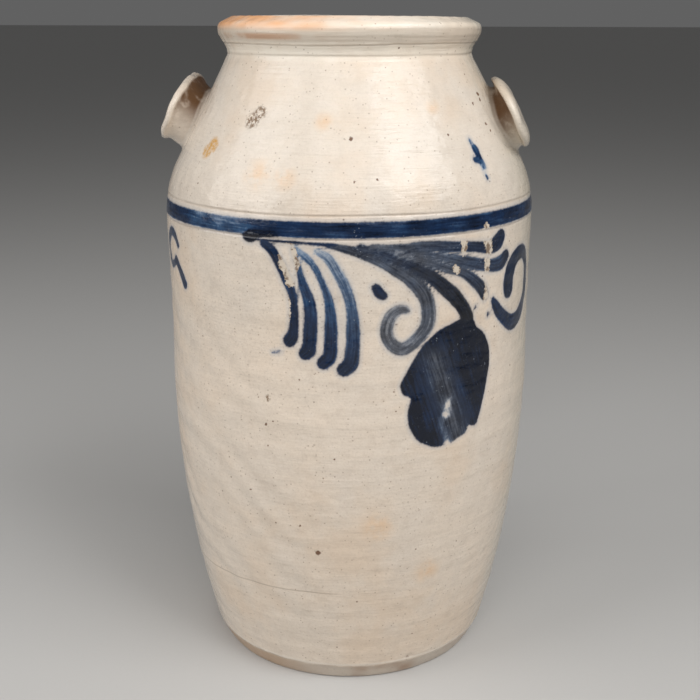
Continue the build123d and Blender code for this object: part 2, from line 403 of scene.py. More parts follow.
def curve_through(points, step=0.5):
    """A smooth curve through given points, with the other values carried along it."""
    points = np.array(points, float)
    if len(points) == 2:
        points = np.array([points[0], points.mean(0), points[1]])
    ends = np.vstack([2 * points[0] - points[1], points, 2 * points[-1] - points[-2]])
    pieces = []
    for a, b, c, d in zip(ends, ends[1:], ends[2:], ends[3:]):
        steps = max(2, int(np.linalg.norm((c - b)[:2]) / step))
        t = np.linspace(0, 1, steps, endpoint=False)[:, None]
        pieces.append(0.5 * (2 * b + (c - a) * t + (2 * a - 5 * b + 4 * c - d) * t**2
                             + (3 * b - a - 3 * c + d) * t**3))
    return np.vstack([*pieces, points[-1:]])


def closed_curve(points, step=0.5):
    """A smooth closed outline through given corners."""
    wrapped = points[-2:] + points + points[:3]
    curve = curve_through(wrapped, step)
    first = np.argmin(np.hypot(*(curve - points[0]).T))
    following = curve[first + 5:]
    last = first + 5 + np.argmin(np.hypot(*(following - points[0]).T))
    return curve[first:last]


def stroke_field(places, stretch, points):
    """Depth inside a stroke at each place, with the share along it and the distance across it."""
    curve = curve_through(points)
    run = run_along(curve[:, :2])
    best = np.full(len(places), -1e3)
    nearest = np.zeros(len(places), int)
    for index, (x, z, half_width) in enumerate(curve):
        inside = half_width - np.hypot((places[:, 0] - x) * stretch, places[:, 1] - z)
        closer = inside > best
        best[closer] = inside[closer]
        nearest[closer] = index
    heading = np.gradient(curve[:, :2], axis=0)
    heading /= np.linalg.norm(heading, axis=1)[:, None]
    offset = places - curve[nearest, :2]
    across = heading[nearest, 0] * offset[:, 1] - heading[nearest, 1] * offset[:, 0]
    return best, run[nearest] / run[-1], across, run[nearest]


def outline_field(places, outline):
    """Signed distance to a closed outline, positive inside."""
    outline = np.asarray(outline)
    distance = np.full(len(places), 1e3)
    inside = np.zeros(len(places), bool)
    for a, b in zip(outline, np.roll(outline, -1, axis=0)):
        run = b - a
        t = np.clip(((places - a) @ run) / max(run @ run, 1e-9), 0, 1)
        distance = np.minimum(distance, np.hypot(*(places - a - t[:, None] * run).T))
        crosses = (places[:, 1] < a[1]) != (places[:, 1] < b[1])
        if a[1] != b[1]:
            at = a[0] + (places[:, 1] - a[1]) * (b[0] - a[0]) / (b[1] - a[1])
            inside ^= crosses & (places[:, 0] < at)
    return np.where(inside, distance, -distance)


def paint_fields(azimuth, radius, height):
    """What the glaze shader needs to know about the painting, for every point of the jar."""
    across = angle_between(azimuth, FRONT) * BELLY_RADIUS / MM
    height = height / MM
    places = np.column_stack([across, height])
    stretch = radius / BELLY_RADIUS

    band_middle = (BAND_LOW + BAND_HIGH) / 2 / MM
    band_half = (BAND_HIGH - BAND_LOW) / 2 / MM
    depth = band_half - np.abs(height - band_middle)
    ink = BAND_INK + 0.07 * wave_noise(places * [1, 2.5], 26, 11)
    ink -= 0.22 * smooth_step(-58, -72, across) * smooth_step(-128, -108, across)
    ink += 0.2 * smooth_step(-66, -60, across) * smooth_step(-40, -52, across) * (height < band_middle)
    grey = np.full(len(places), BAND_GREY)
    whole = [depth, ink, grey, across.copy(), height - band_middle]

    painted = (height > PAINTING_LOW) & (height < PAINTING_HIGH) & (np.abs(across) < PAINTING_REACH)
    local = places[painted]
    local_stretch = stretch[painted]
    fields = [values[painted] for values in whole]

    def lay(*layer):
        over = layer[0] > fields[0]
        for own, new in zip(fields, layer):
            own[over] = new[over]

    for ink_a, ink_b, grey_a, grey_b, points in STROKES.values():
        inside, share, offset, run = stroke_field(local, local_stretch, points)
        lay(inside, ink_a + (ink_b - ink_a) * share, grey_a + (grey_b - grey_a) * share, run, offset)
    tulip = outline_field(local, closed_curve(TULIP))
    thin = smooth_step(-2.5, 1.5, stroke_field(local, local_stretch, TULIP_SLIT)[0])
    chips = np.max([stroke_field(local, local_stretch, chip)[0] for chip in TULIP_CHIPS], axis=0)
    # The brush ran down the tulip and leaned to the left, leaving its middle thin and grey.
    lean = local[:, 0] + 0.35 * (local[:, 1] - 224)
    middle = np.exp(-(((lean - 64) / 14) ** 2)) * smooth_step(262, 245, local[:, 1])
    tulip_ink = 1.02 - 0.42 * middle - 0.4 * thin
    lay(np.minimum(tulip, -chips * 1.2), tulip_ink, 0.85 * middle, local[:, 1], lean)
    for own, new in zip(whole, fields):
        own[painted] = new

    flake = np.full(len(places), -FIELD_REACH)
    lost = outline_field(local, FLAKE_PATCH)
    for line in FLAKE_LINES:
        lost = np.maximum(lost, stroke_field(local, local_stretch, line)[0])
    flake[painted] = lost
    whole[0] = np.clip(depth, -FIELD_REACH, FIELD_REACH)
    whole.append(np.clip(flake, -FIELD_REACH, FIELD_REACH))
    return dict(zip(PAINT_FIELDS, whole))


# ---------------------------------------------------------------- the thrown jar
def jar_spacing(radius, height):
    """How far apart the rings are: closest at the incised lines, the rim and the foot."""
    spacing = np.full(np.shape(height), 1.75 * MM)
    for line_height, _, _, _ in INCISED:
        near = np.abs(height - line_height) < 2.2 * MM
        spacing = np.where(near, 0.4 * MM, spacing)
    spacing = np.where(height > NECK_TOP - 12 * MM, np.minimum(spacing, 0.95 * MM), spacing)
    spacing = np.where(height < CHAMFER_HEIGHT + 3 * MM, 0.9 * MM, spacing)
    return np.where((height < 1 * MM) & (radius < FOOT_RADIUS - 10 * MM), 12 * MM, spacing)


def lining_spacing(radius, height):
    spacing = np.where(height > NECK_TOP - 12 * MM, 1.6 * MM, 9 * MM)
    return np.where((height < 30 * MM) & (radius > 70 * MM), 4 * MM, spacing)


# How far the wall leaves its drawn outline, and its rim and shoulder their level
RIDGE_DEPTH = 0.13 * MM
OUT_OF_ROUND = 0.35 * MM
RIPPLE_DEPTH = 0.34 * MM
LUMP_DEPTH = 0.10 * MM
INSIDE_DEPTH = 0.12 * MM
LINE_WANDER = 0.35 * MM
RIM_LIFT = 0.35 * MM
SHOULDER_SLOPE = 0.0075

# Pits and scars in the wall: ((across, height), size, depth) in millimetres from the front
DENTS = [
    ((52.1, 413.2), 2.2, 0.9), ((56.0, 408.8), 1.8, 0.5), ((54.0, 15.5), 2.0, 1.2), ((44.8, 438.5), 4.5, 0.8),
    ((-59.5, 22.0), 1.6, 0.5), ((9.0, 27.0), 1.5, 0.6), ((84.0, 33.0), 1.4, 0.5), ((-15.0, 40.0), 1.2, 0.4)]


def dent(azimuth, height, radius, centre, size, depth):
    """How far one of the DENTS pushes each point of the wall."""
    across = angle_between(azimuth, FRONT) * radius
    at = centre[0] * MM * radius / BELLY_RADIUS
    away = np.hypot(across - at, height - centre[1] * MM) / (size * MM)
    return -depth * MM * np.exp(-(away**2))


def tilt_of(aside, height):
    """How far the band and the shoulder stand out of level: they rise a little to the right."""
    return SHOULDER_SLOPE * aside * step_mm(240, 300, height) * step_mm(440, 405, height)


def make_jar():
    outer = respaced(outer_outline(), jar_spacing)
    inner = respaced(inner_outline(), lining_spacing)
    outline = np.vstack([outer, inner[1:]])
    azimuths = column_azimuths()
    azimuth, radius, height, normal_r, normal_z = turned_grid(outline, azimuths)
    outside = np.arange(len(height)) < (len(outer) - 1) * JAR_COLUMNS
    wall = outside & (height > 3 * MM)

    places = wheel_point(azimuth, radius, height)
    # Finger ridges of the throwing, which climb the wall as a slow spiral
    climb = np.column_stack([height + azimuth / (2 * math.pi) * 6 * MM, np.zeros(len(places))])
    ridges = RIDGE_DEPTH * wave_noise(climb, 11 * MM, 3)
    push = ridges * step_mm(0, 30, height) * smooth_step(ROLL_TOP, NECK_TOP - 9 * MM, height)
    # The wall isn't quite round, and the low left front has slanting ripples
    push += OUT_OF_ROUND * wave_noise(places, 170 * MM, 5) * step_mm(0, 60, height)
    across = angle_between(azimuth, FRONT) * BELLY_RADIUS
    slant = (across * 0.62 + height) / (17 * MM)
    ripple = RIPPLE_DEPTH * np.sin(slant * 2 * math.pi / 1.9 + 2.2 * wave_noise(places, 70 * MM, 6))
    ripple *= step_mm(10, -50, across) * step_mm(-200, -140, across)
    push += ripple * step_mm(300, 250, height) * step_mm(30, 70, height)
    push += LUMP_DEPTH * wave_noise(places, 7 * MM, 7)
    # Incised lines, cut by a point that wandered a little and raised an edge above each line
    groove = np.zeros(len(places))
    for number, (line_height, line_depth, half_width, dirt) in enumerate(INCISED):
        wander = LINE_WANDER * wave_noise(places, 90 * MM, 20 + number)
        lightness = 0.85 + 0.3 * wave_noise(places, 60 * MM, 30 + number)
        off_line = (height - line_height - wander) / half_width
        cut = np.exp(-(off_line**2))
        push += line_depth * (0.25 * np.exp(-((off_line - 1.7) ** 2)) - lightness * cut)
        groove = np.maximum(groove, dirt * cut)
    for centre, size, depth in DENTS:
        push += dent(azimuth, height, radius, centre, size, depth)
    push = np.where(wall, push, INSIDE_DEPTH * wave_noise(places, 16 * MM, 9))
    push = np.where(outside & (height < 0.5 * MM), 0, push)
    places += push[:, None] * wheel_point(azimuth, normal_r, normal_z)

    # The rim rises and falls by a few tenths of a millimetre
    lift = RIM_LIFT * np.sin(azimuth * 2 + 0.6) * smooth_step(NECK_TOP, ROLL_TOP, height)
    places[:, 2] = np.maximum(places[:, 2] + lift + tilt_of(places[:, 0], height), 0)

    jar = turned_mesh("jar", outline, JAR_COLUMNS, places)
    for name, values in paint_fields(azimuth, radius, height).items():
        set_values(jar, name, np.append(np.where(outside, values, -FIELD_REACH), [-FIELD_REACH] * 2))
    bore = ~outside | ((radius < MOUTH_RADIUS + 0.8 * MM) & (height > 400 * MM))
    set_values(jar, "lining", np.append(bore, [0, 1]))
    set_values(jar, "groove", np.append(np.where(outside, groove, 0), [0, 0]))
    set_values(jar, "soil", np.zeros(len(places) + 2))
    return jar


# ---------------------------------------------------------------- the lug handles
LUG_HALF_LENGTH = 46 * MM
LUG_HALF_HEIGHT = 25.8 * MM
LUG_MIDDLE = 12.2 * MM
LUG_COLUMNS = 210
LUG_FULLNESS = 0.9
THUMB_DEPTH = 1.8 * MM

# Levels of a lug from the middle of its face, over the lip, in to its neck:
# (share of the lip's length, share of its height, distance off the shoulder in millimetres)
LUG_FACE = [(0.0, 0.0, 15.7), (0.25, 0.25, 15.7), (0.5, 0.5, 15.8), (0.72, 0.72, 16.0), (0.86, 0.86, 15.9),
            (0.94, 0.93, 15.4), (0.98, 0.975, 14.7), (1.0, 1.0, 13.6), (1.0, 1.0, 12.2),
            (0.985, 0.985, 11.2), (0.945, 0.95, 10.5), (0.88, 0.925, 9.5), (0.81, 0.905, 7.6),
            (0.765, 0.90, 5.5), (0.745, 0.90, 3.8)]
# Levels of the neck's root, measured over the round wall of the shoulder
LUG_ROOT = [(0.735, 0.91, 3.0), (0.74, 0.93, 1.8), (0.765, 0.97, 0.7), (0.81, 1.03, 0.1), (0.86, 1.09, -0.5)]
# How many levels the mesh has of each, and how many of the first kind are the front face
FACE_LEVELS = 56
ROOT_LEVELS = 16
FRONT_LEVELS = 43

# How each lug was pressed on, in millimetres or as shares. Lean is how much its lower edge stands
# off, far_flare how much its upper edge does at the end behind, the droops are how far its upper
# and lower edges turn back to the jar, and set_in is how much closer the whole lip sits. Crown is
# the share of its height left to the lip's upper half, neck_drop how far the neck sits below the
# lip's middle, and neck_height the share of its height left to the neck.
LUG_SHAPES = {
    -1: dict(lean=-0.01, far_flare=2.6, upper_droop=-1.6, lower_droop=-0.6, set_in=-1.5, crown=0.87,
             neck_drop=2.6, neck_height=1.0, seed=71),
    1: dict(lean=-0.05, far_flare=-2.2, upper_droop=6.4, lower_droop=3.3, set_in=1.3, crown=1.0,
            neck_drop=2.6, neck_height=0.95, seed=75),
}


def resampled_levels(levels, count):
    """The same levels as a smooth curve of evenly spaced points."""
    points = np.array(levels, float) * [LUG_HALF_LENGTH / MM, LUG_HALF_HEIGHT / MM, 1]
    smooth = curve_through(points, 0.15)
    run = run_along(smooth)
    return points_at(smooth, run, np.linspace(0, run[-1], count)) * MM


def make_lug(name, node, side):
    """A hand-formed lug: an oval lip pulled out of a thick neck, which is smeared onto the shoulder."""
    shape = LUG_SHAPES[side]
    low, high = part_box(node)
    middle = (low + high) / 2
    face = resampled_levels(LUG_FACE, FACE_LEVELS)[1:]
    levels = np.vstack([face, resampled_levels(LUG_ROOT, ROOT_LEVELS)[1:]])
    count = len(levels)
    rooted = np.repeat(np.arange(count) >= FACE_LEVELS - 1, LUG_COLUMNS)
    front_face = np.repeat(np.arange(count) < FRONT_LEVELS, LUG_COLUMNS)

    # The seat is the point of the shoulder cone behind the middle of the lug.
    seat_height = middle.z - LUG_MIDDLE * math.sin(SHOULDER_LEAN)
    seat_radius = BELLY_RADIUS - (seat_height - SHOULDER_BREAK) * math.tan(SHOULDER_LEAN)
    seat = np.array([side * seat_radius, 0, seat_height])
    outward = np.array([side * math.cos(SHOULDER_LEAN), 0, math.sin(SHOULDER_LEAN)])
    up = np.array([-side * math.sin(SHOULDER_LEAN), 0, math.cos(SHOULDER_LEAN)])
    level_along = np.array([0, 1.0, 0])

    turn = np.tile(np.linspace(0, 2 * math.pi, LUG_COLUMNS, endpoint=False), count)
    half_length, half_height, raised = np.repeat(levels, LUG_COLUMNS, axis=0).T
    t = half_length * np.sign(np.cos(turn)) * np.abs(np.cos(turn)) ** LUG_FULLNESS
    u = half_height * np.sign(np.sin(turn)) * np.abs(np.sin(turn)) ** LUG_FULLNESS
    u = np.where(u > 0, u * shape["crown"], u)

    # The lip droops to the wall at its edges, and bends a little with the jar.
    share = (u / LUG_HALF_HEIGHT) ** 2 * MM
    droop = np.where(u > 0, shape["upper_droop"] * share, shape["lower_droop"] * share)
    bend = t**2 / (2 * seat_radius)
    to_lip = step_mm(4, 11, raised)
    pressed = shape["lean"] * u + droop + 0.25 * bend + shape["set_in"] * MM
    pressed -= shape["far_flare"] * MM * step_mm(-20, 36, t) * step_mm(-8, 22, u)
    raised = raised - to_lip * pressed - ~rooted * (1 - to_lip) * 0.9 * bend
    # A thumb's hollow along the face
    hollow = np.exp(-((t / (LUG_HALF_LENGTH * 0.6)) ** 2) - ((u + 2 * MM) / (LUG_HALF_HEIGHT * 0.5)) ** 2)
    raised = raised - front_face * THUMB_DEPTH * hollow
    u = u * (1 + (1 - to_lip) * (shape["neck_height"] - 1)) - (1 - to_lip) * shape["neck_drop"] * MM

    def place(t, u, raised):
        return seat + np.outer(t, level_along) + np.outer(u, up) + np.outer(raised, outward)

    # The root follows the round wall: it is measured off the shoulder cone itself.
    foot = place(t, u, np.zeros_like(t))
    cone = BELLY_RADIUS - (foot[:, 2] - SHOULDER_BREAK) * math.tan(SHOULDER_LEAN)
    gap = (np.hypot(foot[:, 0], foot[:, 1]) - cone) * math.cos(SHOULDER_LEAN)
    points = place(t, u, raised - rooted * gap)
    points += np.outer(0.35 * MM * wave_noise(points, 26 * MM, shape["seed"]), outward)
    rough = [wave_noise(points, 17 * MM, shape["seed"] + k) for k in (1, 2, 3)]
    points += 0.22 * MM * np.column_stack(rough)
    points[:, 2] += tilt_of(points[:, 0], points[:, 2])

    centre = place(np.zeros(1), np.zeros(1), np.array([levels[0, 2] - THUMB_DEPTH]))
    inner = place(np.zeros(1), np.zeros(1), np.array([-3 * MM]))
    vertices = np.vstack([points, centre, inner])
    faces = turned_faces(count, LUG_COLUMNS, len(points), len(points) + 1)
    if side > 0:
        faces = [face[::-1] for face in faces]
    lug = new_mesh(name, vertices, faces)
    # Dirt has settled in the hollow under the lip, most of it on the upper side.
    under_lip = smooth_step(0.985, 0.94, half_height / LUG_HALF_HEIGHT) * ~front_face
    under_lip *= ~rooted * 0.4 + 0.6
    upper = smooth_step(-0.4 - 0.5 * (side > 0), 0.6 - 0.3 * (side > 0), np.sin(turn))
    set_values(lug, "soil", np.append(under_lip * upper, [0, 0]))
    for value in PAINT_FIELDS + ("lining", "groove"):
        nothing = -FIELD_REACH if value in ("cobalt", "flake") else 0.0
        set_values(lug, value, np.full(len(vertices), nothing))
    return lug


# ---------------------------------------------------------------- lid, knob and weights
def make_turned(name, corners, radii, spacing, columns, seed, ridge):
    """A piece turned on the wheel from an outline that starts and ends on the axis."""
    path = rounded_path(corners, radii, 0.1 * MM)
    outline = respaced(path, lambda r, z: np.full(np.shape(r), spacing))
    azimuths = np.linspace(0, 2 * math.pi, columns, endpoint=False)
    azimuth, radius, height, normal_r, normal_z = turned_grid(outline, azimuths)
    places = wheel_point(azimuth, radius, height)
    spiral = np.column_stack([radius - azimuth / (2 * math.pi) * 4 * MM, height])
    push = ridge * wave_noise(spiral, 6 * MM, seed) * step_mm(0, 8, radius)
    push += 0.12 * MM * wave_noise(places, 30 * MM, seed + 1)
    places += push[:, None] * wheel_point(azimuth, normal_r, normal_z)
    return turned_mesh(name, outline, columns, places)


def make_lid():
    radius = lid_high.x
    well = 66 * MM
    well_inner = 57 * MM
    panel_top = lid_low.z + 8 * MM
    return make_turned(
        "lid_turned",
        [(0, lid_low.z), (well, lid_low.z), (well, GALLERY_HEIGHT), (radius, GALLERY_HEIGHT),
         (radius, lid_high.z), (well_inner, lid_high.z), (well_inner, panel_top), (0, panel_top)],
        [2.5 * MM, 0.8 * MM, 1.2 * MM, 2.8 * MM, 2.8 * MM, 5 * MM],
        spacing=0.9 * MM, columns=220, seed=41, ridge=0.08 * MM)


def make_knob():
    base, top = knob_low.z, knob_high.z
    head = knob_high.x
    return make_turned(
        "knob_turned",
        [(0, base - 0.4 * MM), (13.5 * MM, base - 0.4 * MM), (9 * MM, base + 5 * MM),
         (9 * MM, base + 10 * MM), (head, base + 13 * MM), (head - 1 * MM, top - 2 * MM), (0, top)],
        [0.4 * MM, 5 * MM, 3 * MM, 2.5 * MM, 4.5 * MM],
        spacing=0.5 * MM, columns=96, seed=51, ridge=0.05 * MM)


def make_weight(name, node, side):
    """Half of the divided weight, cut from a slab and sponged round at its edges."""
    low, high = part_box(node)
    radius = high.y
    gap = min(abs(low.x), abs(high.x))
    hole = 14 * MM
    reach = math.acos(gap / radius)
    hole_reach = math.acos(gap / hole)
    outline = [(radius * math.cos(a), radius * math.sin(a)) for a in np.linspace(-reach, reach, 72)]
    outline += [(hole * math.cos(a), hole * math.sin(a)) for a in np.linspace(hole_reach, -hole_reach, 22)]
    count = len(outline)
    inset = 0.35 * MM
    vertices = [(side * x, y, z) for z in (low.z, high.z - inset) for x, y in outline]
    faces = [tuple(range(count)), tuple(range(2 * count - 1, count - 1, -1))]
    faces += [(k, k + count, (k + 1) % count + count, (k + 1) % count) for k in range(count)]
    if side > 0:
        faces = [face[::-1] for face in faces]
    weight = new_mesh(name, vertices, faces)
    bevel = weight.modifiers.new("edges", "BEVEL")
    bevel.width = 3 * MM
    bevel.segments = 4
    bevel.limit_method = "ANGLE"
    remesh = weight.modifiers.new("clay", "REMESH")
    remesh.mode = "VOXEL"
    remesh.voxel_size = 1.3 * MM
    remesh.use_smooth_shade = True
    relax = weight.modifiers.new("sponged", "SMOOTH")
    relax.iterations = 3
    graph = bpy.context.evaluated_depsgraph_get()
    mesh = bpy.data.meshes.new_from_object(weight.evaluated_get(graph))
    weight.modifiers.clear()
    weight.data = mesh
    points = np.array([v.co for v in mesh.vertices])
    shift = 0.15 * MM * np.column_stack([wave_noise(points, 14 * MM, 60 + k) for k in range(3)])
    points += shift * (points[:, 2:] > low.z + 1.5 * MM)
    points[:, 2] = np.maximum(points[:, 2], low.z)
    mesh.vertices.foreach_set("co", points.astype(np.float32).ravel())
    mesh.polygons.foreach_set("use_smooth", [True] * len(mesh.polygons))
    mesh.update()
    return weight


# ---------------------------------------------------------------- shader nodes
def linear(red, green, blue):
    """A shader colour from ordinary 0 to 255 screen values."""
    def one(value):
        value /= 255
        return value / 12.92 if value <= 0.04045 else ((value + 0.055) / 1.055) ** 2.4
    return (one(red), one(green), one(blue), 1.0)


class Shader:
    """Short ways to add nodes to one material, whose colour is built up layer by layer."""

    def __init__(self, name):
        self.material = bpy.data.materials.new(name)
        self.material.use_nodes = True
        self.nodes = self.material.node_tree.nodes
        self.nodes.clear()
        self.coords = self.add("TexCoord", {})["Object"]
        self.colour = None

    def add(self, kind, inputs, **settings):
        """A new node with its settings made and its inputs fed, by name or number; its outputs."""
        node = self.nodes.new("ShaderNode" + kind)
        for name, value in settings.items():
            setattr(node, name, value)
        for key, value in inputs.items():
            if isinstance(value, bpy.types.NodeSocket):
                self.material.node_tree.links.new(value, node.inputs[key])
            elif value is not None:
                node.inputs[key].default_value = value
        return node.outputs

    def math(self, operation, a, b=None, clamp=False):
        return self.add("Math", {0: a, 1: b}, operation=operation, use_clamp=clamp)[0]

    def times(self, product, *factors):
        for factor in factors:
            product = self.math("MULTIPLY", product, factor)
        return product

    def plus(self, a, b, clamp=False):
        return self.math("ADD", a, b, clamp)

    def minus(self, a, b):
        return self.math("SUBTRACT", a, b)

    def vector(self, operation, a, b, out="Vector"):
        second = "Scale" if operation == "SCALE" else 1
        return self.add("VectorMath", {0: a, second: b}, operation=operation)[out]

    def value_of(self, name):
        return self.add("Attribute", {}, attribute_name=name)["Fac"]

    def noise(self, scale, detail=2.0, roughness=0.5, distortion=0.0, at=None):
        place = self.coords if at is None else at
        inputs = {"Vector": place, "Scale": scale, "Detail": detail, "Roughness": roughness}
        return self.add("TexNoise", inputs | {"Distortion": distortion})["Fac"]

    def unevenness(self, scale, detail, roughness=0.5, at=None):
        """A noise of about -0.5 to 0.5."""
        return self.minus(self.noise(scale, detail, roughness, at=at), 0.5)

    def flow(self, stretch, scale, detail, roughness):
        """Noise squeezed in height, so that it runs round the jar as throwing streaks do."""
        squeezed = self.vector("MULTIPLY", self.coords, (1, 1, stretch))
        return self.noise(scale, detail, roughness, at=squeezed)

    def speckle(self, places, scale, reach, share):
        """A mask of specks: their reach in a cell and the cells' share that has one, each a step's limits."""
        cells = self.add("TexVoronoi", {"Vector": places, "Scale": scale})
        return self.times(self.step(cells["Distance"], *reach), self.step(cells["Color"], *share))

    def step(self, value, low, high, to_low=0.0, to_high=1.0):
        """A smooth step of a value between two limits, clamped."""
        inputs = dict(enumerate((value, low, high, to_low, to_high)))
        return self.add("MapRange", inputs, interpolation_type="SMOOTHSTEP")[0]

    def mix(self, share, a, b):
        return self.add("Mix", {"Factor": share, 6: a, 7: b}, data_type="RGBA")[2]

    def ramp(self, value, stops):
        """A colour ramp, whose stops are a place and a colour in screen values."""
        output = self.add("ValToRGB", {0: value})[0]
        elements = output.node.color_ramp.elements
        while len(elements) < len(stops):
            elements.new(0.5)
        for element, (place, colour) in zip(elements, stops):
            element.position = place
            element.color = linear(*colour)
        return output

    def lay(self, share, colour):
        """Covers a share of the material's colour with another."""
        self.colour = self.mix(share, self.colour, colour)

    def tint(self, share, *colour):
        self.lay(share, linear(*colour))

    def tint_steps(self, *tints):
        """Tints laid between two limits of a value: (value, low, high, share, red, green, blue)."""
        for value, low, high, share, *colour in tints:
            self.tint(self.step(value, low, high, 0.0, share), *colour)

    def bumps(self, *layers):
        """The normal after some bumps, each a height, a strength and a depth in metres."""
        normal = None
        for height, strength, depth in layers:
            inputs = {"Height": height, "Strength": strength, "Distance": depth, "Normal": normal}
            normal = self.add("Bump", inputs)[0]
        return normal

    def finish(self, roughness, normal, **constants):
        inputs = {"Base Color": self.colour, "Roughness": roughness, "Normal": normal}
        for name, value in constants.items():
            inputs[name.replace("_", " ")] = value
        self.add("OutputMaterial", {0: self.add("BsdfPrincipled", inputs)[0]})
        return self.material


# ---------------------------------------------------------------- materials
# Inks from thin to thick
BLUE_INK = [
    (0.0, (188, 190, 192)), (0.22, (120, 139, 162)), (0.45, (50, 80, 114)), (0.7, (22, 44, 76)),
    (1.0, (3, 12, 30))]
GREY_INK = [
    (0.0, (190, 186, 180)), (0.22, (142, 143, 147)), (0.45, (84, 86, 92)), (0.7, (42, 45, 52)),
    (1.0, (12, 14, 20))]

# Marks left by the kiln and by use: (across, height, radius) in millimetres from the front
BROWN_MARKS = [
    (-21.9, 110.3, 2.6), (-9.7, 180.5, 1.1), (1.2, 382.2, 1.5), (127.3, 386.8, 1.7), (-54.9, 185.3, 1.0),
    (93.5, 294.2, 1.0), (135.8, 405.2, 2.0), (136.0, 402.0, 1.5), (120.1, 400.1, 1.5), (18.1, 359.1, 1.2),
    (-55.7, 200.0, 1.4), (-34.3, 130.4, 1.1), (-11.1, 419.3, 1.9), (54.0, 15.0, 1.8), (52.1, 413.4, 1.4),
    (130.0, 382.5, 1.3), (78.2, 383.1, 1.2), (3.2, 357.8, 1.1), (43.0, 441.5, 1.1), (46.8, 436.2, 1.3),
    (-70.0, 150.7, 1.2), (-50.5, 203.5, 1.1)]
ORANGE_MARKS = [(-121.0, 370.6, 7.0), (-116.8, 374.4, 7.0)]
FAINT_MARKS = [
    (-64.0, 360.0, 15.0), (-44.0, 359.0, 12.0), (-20.0, 392.0, 9.0), (70.0, 400.0, 8.0), (20.0, 130.0, 16.0),
    (60.0, 90.0, 14.0)]
GREY_MARKS = [(-81.1, 391.2, 7.5), (-76.1, 396.2, 6.0), (-54.0, 218.4, 3.0)]


def wall_point(across, height):
    """The object-space point of the jar's outside at (across, height) metres from the front."""
    if height < UPPER_BELLY:
        radius = wall_radius(min(height, BELLY_HEIGHT))
    elif height < NECK_TOP - 25 * MM:
        radius = min(BELLY_RADIUS, BELLY_RADIUS - (height - SHOULDER_BREAK) * math.tan(SHOULDER_LEAN))
    else:
        radius = NECK_RADIUS
    return wheel_point(FRONT + across / BELLY_RADIUS, radius, height)[0]


def marks(s, places, centres, softness):
    """A mask of small round marks, each blurred by a share of its radius."""
    mask = 0.0
    for across, height, radius in centres:
        away = s.vector("DISTANCE", places, wall_point(across * MM, height * MM), out="Value")
        mask = s.math("MAXIMUM", mask, s.step(away, radius * MM, radius * MM * (1 - softness)))
    return mask


